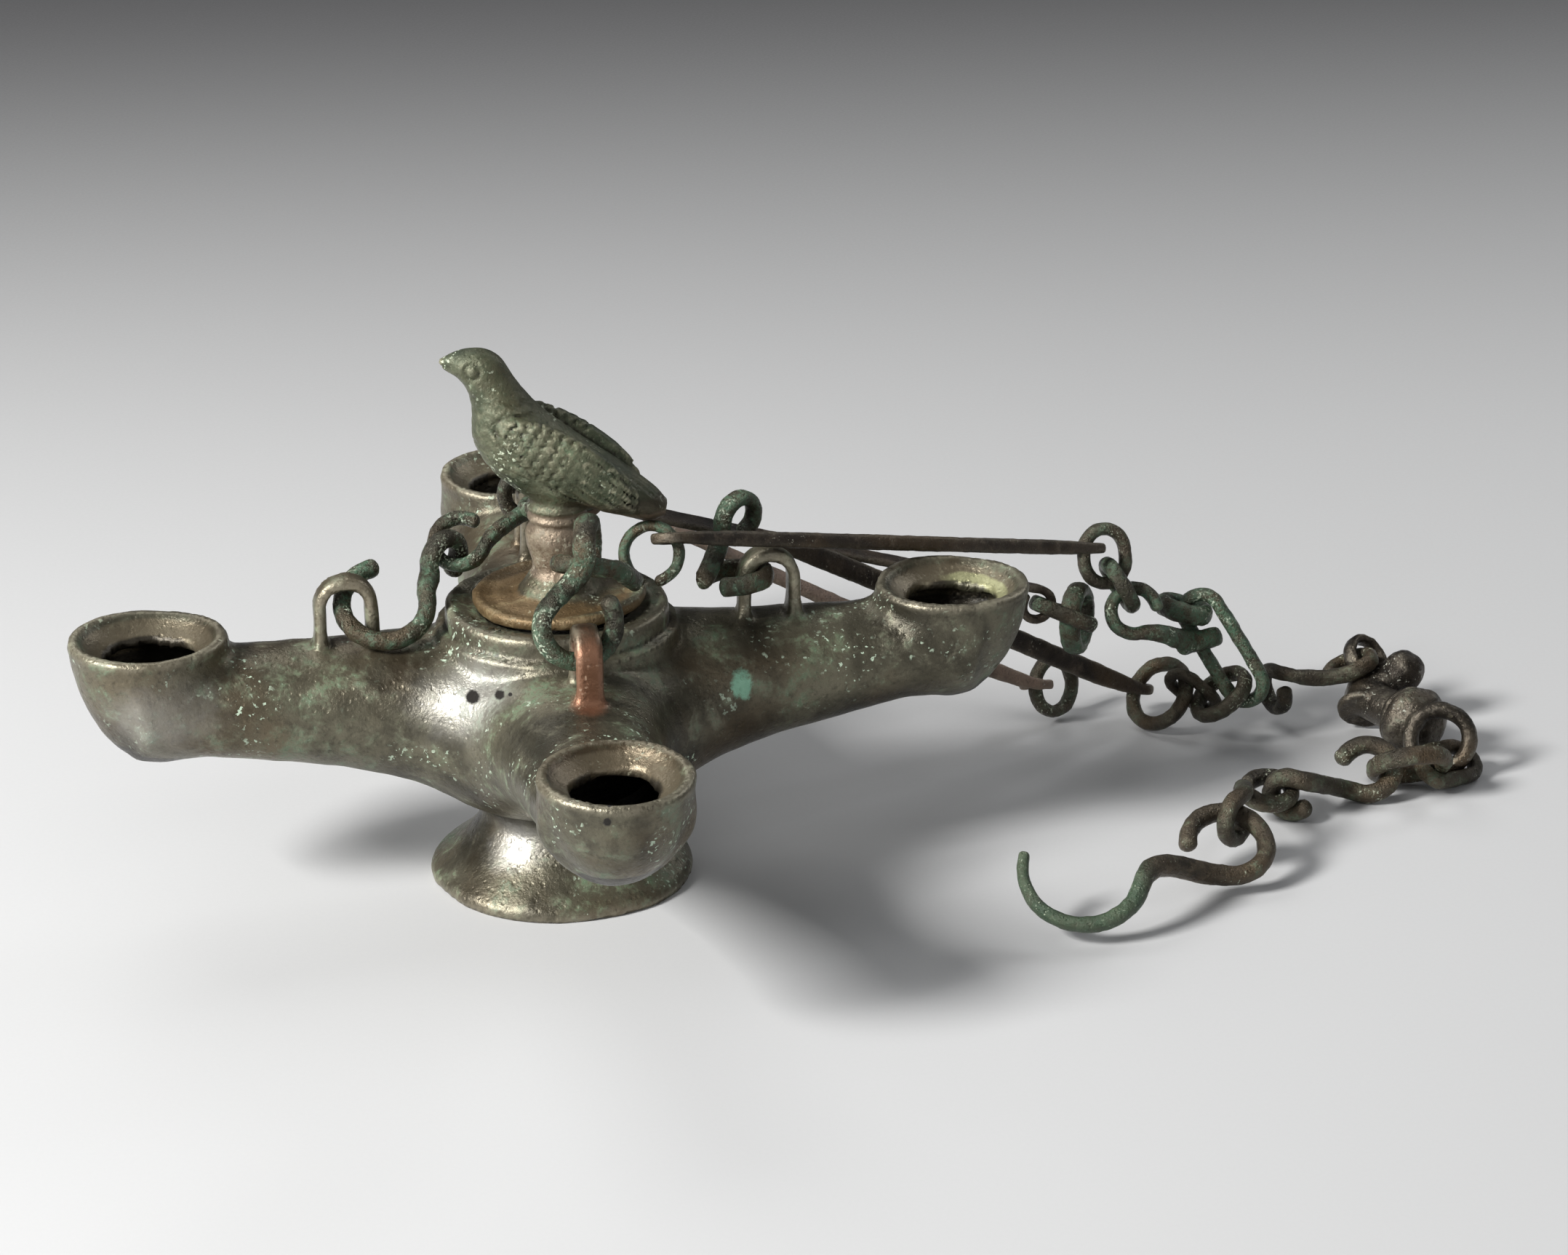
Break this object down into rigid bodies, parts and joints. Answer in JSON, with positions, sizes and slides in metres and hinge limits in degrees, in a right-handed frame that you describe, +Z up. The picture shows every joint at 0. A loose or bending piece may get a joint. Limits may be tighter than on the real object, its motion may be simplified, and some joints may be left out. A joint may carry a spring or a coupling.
{
  "type": "hanging oil lamp",
  "caption": "Hollow cast bronze oil lamp on a turned foot, open wick nozzles on cross-set arms, lid with a resting bird, suspension rods, chain links, swivel and hook lying beside it.",
  "frame": {"origin": "centre of the foot's underside, on the plane the lamp stands on", "axes": "+Z up along the axis of the foot and bowl; the arms lie along -X, -Y, +X and +Y; the chain and hook lie towards +X"},
  "size_m": [0.3446, 0.224, 0.1294],
  "materials": {
    "cast_bronze": "satin, dark brown with green corrosion specks and green rims",
    "lid_bronze": "matt ochre brown over bronze, green on the bird",
    "rod_bronze": "dull dark brown, scraped and corroded",
    "link_bronze": "pale green verdigris over brown",
    "swivel_bronze": "grey brown with metallic wear",
    "hook_bronze": "brown near the eye, green on the bend"
  },
  "bodies": {
    "root": {"lamp_body": "cast_bronze", "lid_with_bird": "lid_bronze", "link_a1": "link_bronze", "link_a2": "link_bronze", "rod_left": "rod_bronze", "link_b1": "link_bronze", "link_b2": "link_bronze", "rod_front": "rod_bronze", "link_c1": "link_bronze", "rod_right": "rod_bronze", "link_d1": "link_bronze", "rod_back": "rod_bronze", "ring_p9": "link_bronze", "ring_p1": "link_bronze", "ring_p2": "link_bronze", "link_p3": "link_bronze", "ring_p4": "link_bronze", "ring_p5": "link_bronze", "ring_p6": "link_bronze", "ring_p8": "link_bronze", "ring_p7": "link_bronze", "ring_p10": "link_bronze", "link_green": "link_bronze", "link_e1": "link_bronze", "ring_h1": "link_bronze", "ring_h2": "link_bronze", "link_h3": "link_bronze", "link_h4": "link_bronze", "hook": "hook_bronze", "swivel": "swivel_bronze"}
  },
  "joints": []
}
